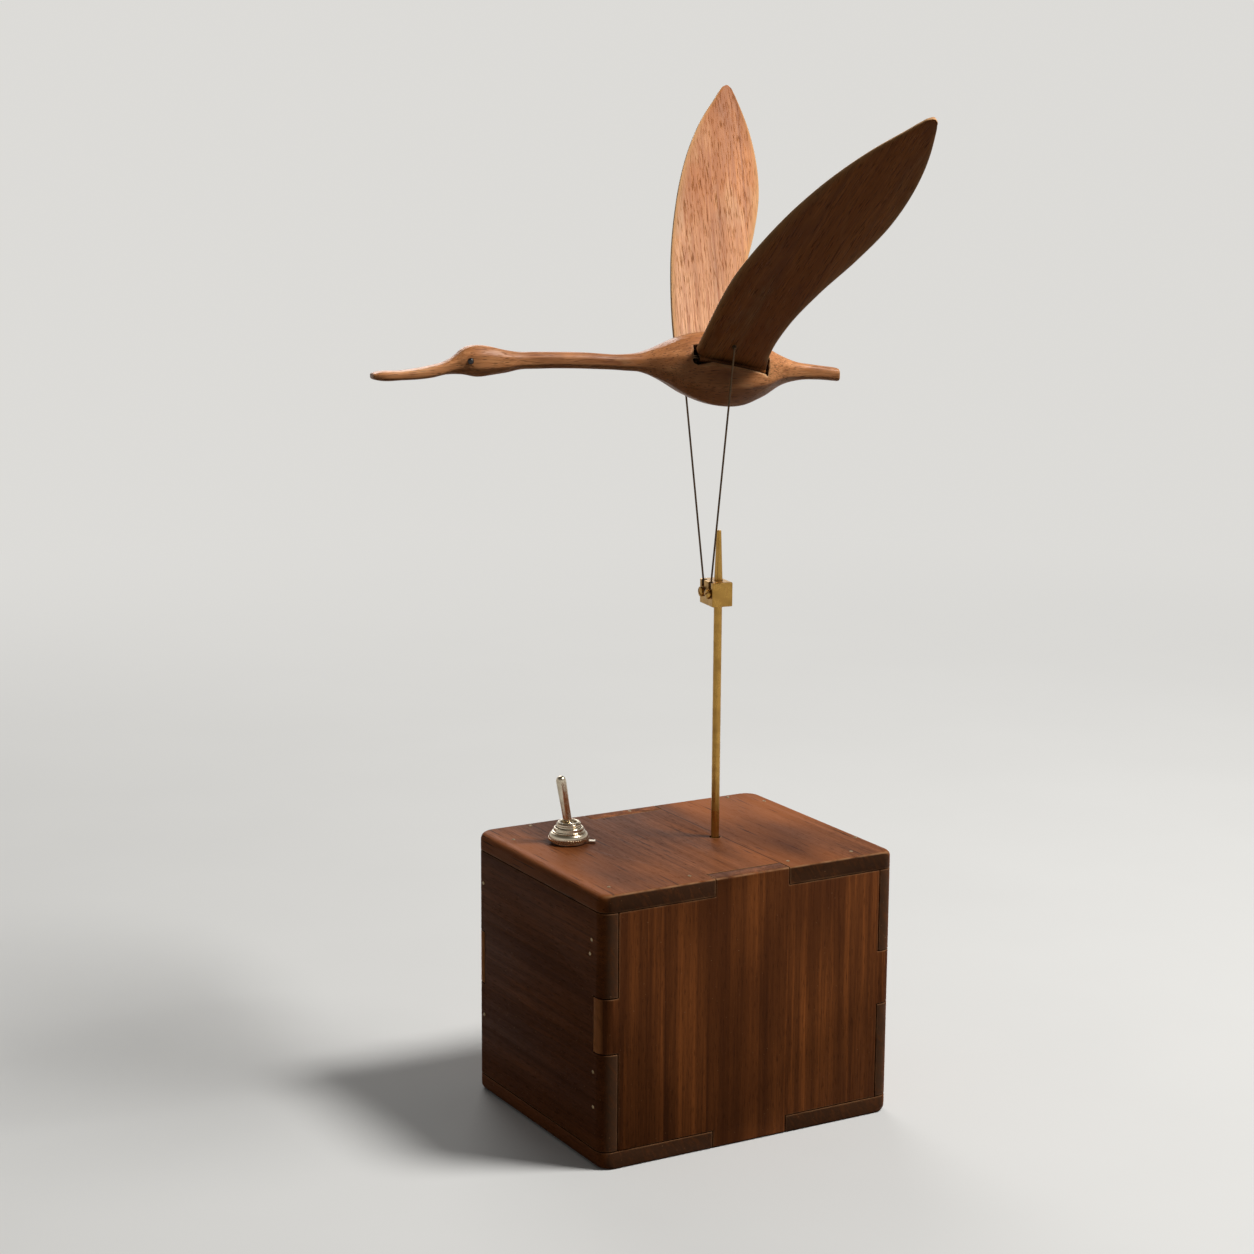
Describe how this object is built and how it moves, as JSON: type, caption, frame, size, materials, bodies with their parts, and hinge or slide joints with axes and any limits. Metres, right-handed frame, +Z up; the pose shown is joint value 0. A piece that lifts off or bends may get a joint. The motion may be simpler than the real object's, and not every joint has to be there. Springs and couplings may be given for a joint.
{
  "type": "kinetic bird sculpture",
  "caption": "Motor-driven kinetic sculpture: a carved wooden bird flaps its hinged wings on a brass rod above a finger-jointed walnut box with a toggle switch.",
  "frame": {"origin": "centre of the box's underside", "axes": "+Z up, +X along the box's front from the bird's head end to its tail end, +Y from the front board to the back board"},
  "size_m": [0.1783, 0.171, 0.3724],
  "materials": {
    "box_walnut": "satin",
    "bird_wood": "satin",
    "brass": "satin",
    "nickel": "polished",
    "steel": "satin",
    "motor_steel": "satin",
    "black_bead": "gloss",
    "black_plastic": "matte",
    "cell_sleeve": "gloss"
  },
  "bodies": {
    "box": {"base_panel": "box_walnut", "front_panel": "box_walnut", "back_panel": "box_walnut", "left_panel": "box_walnut", "right_panel": "box_walnut", "lid": "box_walnut", "switch_body": "black_plastic", "switch_lock_nut": "nickel", "switch_bushing": "nickel", "switch_key_washer": "nickel", "switch_dress_nut": "nickel", "gear_motor": "motor_steel", "gearbox": "motor_steel", "motor_bracket": "motor_steel", "rod_guide_bush": "brass", "battery_holder": "black_plastic", "battery_left": "cell_sleeve", "battery_right": "cell_sleeve"},
    "toggle": {"toggle_lever": "nickel"},
    "crank": {"crank_disc": "brass", "output_shaft": "motor_steel"},
    "rod": {"lift_rod": "brass", "clamp_block": "brass", "clamp_screw_left": "brass", "clamp_screw_right": "brass", "rod_clevis": "brass", "wrist_pin": "motor_steel"},
    "link": {"connecting_link": "brass", "crank_pin": "motor_steel"},
    "bird": {"bird_body": "bird_wood", "left_eye": "black_bead", "right_eye": "black_bead", "left_hinge_pin": "steel", "right_hinge_pin": "steel"},
    "left_flapper": {"left_wing": "bird_wood"},
    "right_flapper": {"right_wing": "bird_wood"},
    "left_stay": {"left_wire": "steel"},
    "right_stay": {"right_wire": "steel"}
  },
  "joints": [
    {"name": "toggle_tilt", "type": "hinge", "parent": "box", "child": "toggle", "pos_m": [-0.0382, 0.0182, 0.1055], "axis": [0, 1, 0], "range_deg": [0, 20]},
    {"name": "crank_spin", "type": "hinge", "parent": "box", "child": "crank", "pos_m": [0.0128, -0.0012, 0.03415], "axis": [0, 1, 0], "continuous": true},
    {"name": "rod_lift", "type": "slide", "parent": "box", "child": "rod", "axis": [0, 0, 1], "range_m": [-0.008, 0]},
    {"name": "link_swing", "type": "hinge", "parent": "rod", "child": "link", "pos_m": [0.0128, -0.0012, 0.06415], "axis": [0, 1, 0], "range_deg": [-9, 9]},
    {"name": "body_bob", "type": "slide", "parent": "rod", "child": "bird", "axis": [0.2059, -0.0289, 0.9781], "range_m": [-0.0025, 0.0045]},
    {"name": "wing_flap", "type": "hinge", "parent": "bird", "child": "left_flapper", "pos_m": [0.01196, -0.00714, 0.2754], "axis": [-0.9686, 0.1361, 0.2079], "range_deg": [-25, 10], "stiffness_Nm_per_rad": 0.12},
    {"name": "right_wing_flap", "type": "hinge", "parent": "bird", "child": "right_flapper", "pos_m": [0.01363, 0.00474, 0.2754], "axis": [0.9686, -0.1361, -0.2079], "range_deg": [-26, 11]},
    {"name": "left_wire_pivot", "type": "hinge", "parent": "left_flapper", "child": "left_stay", "pos_m": [0.00964, -0.01511, 0.28181], "axis": [-0.9686, 0.1361, 0.2079], "range_deg": [-12, 28]},
    {"name": "right_wire_pivot", "type": "hinge", "parent": "right_flapper", "child": "right_stay", "pos_m": [0.00448, 0.01352, 0.28472], "axis": [0.9686, -0.1361, -0.2079], "range_deg": [-12, 28]}
  ],
  "couplings": [
    {"joint": "right_wing_flap", "follows": "wing_flap", "ratio": 1},
    {"joint": "body_bob", "follows": "wing_flap", "m_per_rad": -0.008},
    {"joint": "left_wire_pivot", "follows": "wing_flap", "ratio": -0.9457},
    {"joint": "right_wire_pivot", "follows": "wing_flap", "ratio": -0.9341}
  ]
}
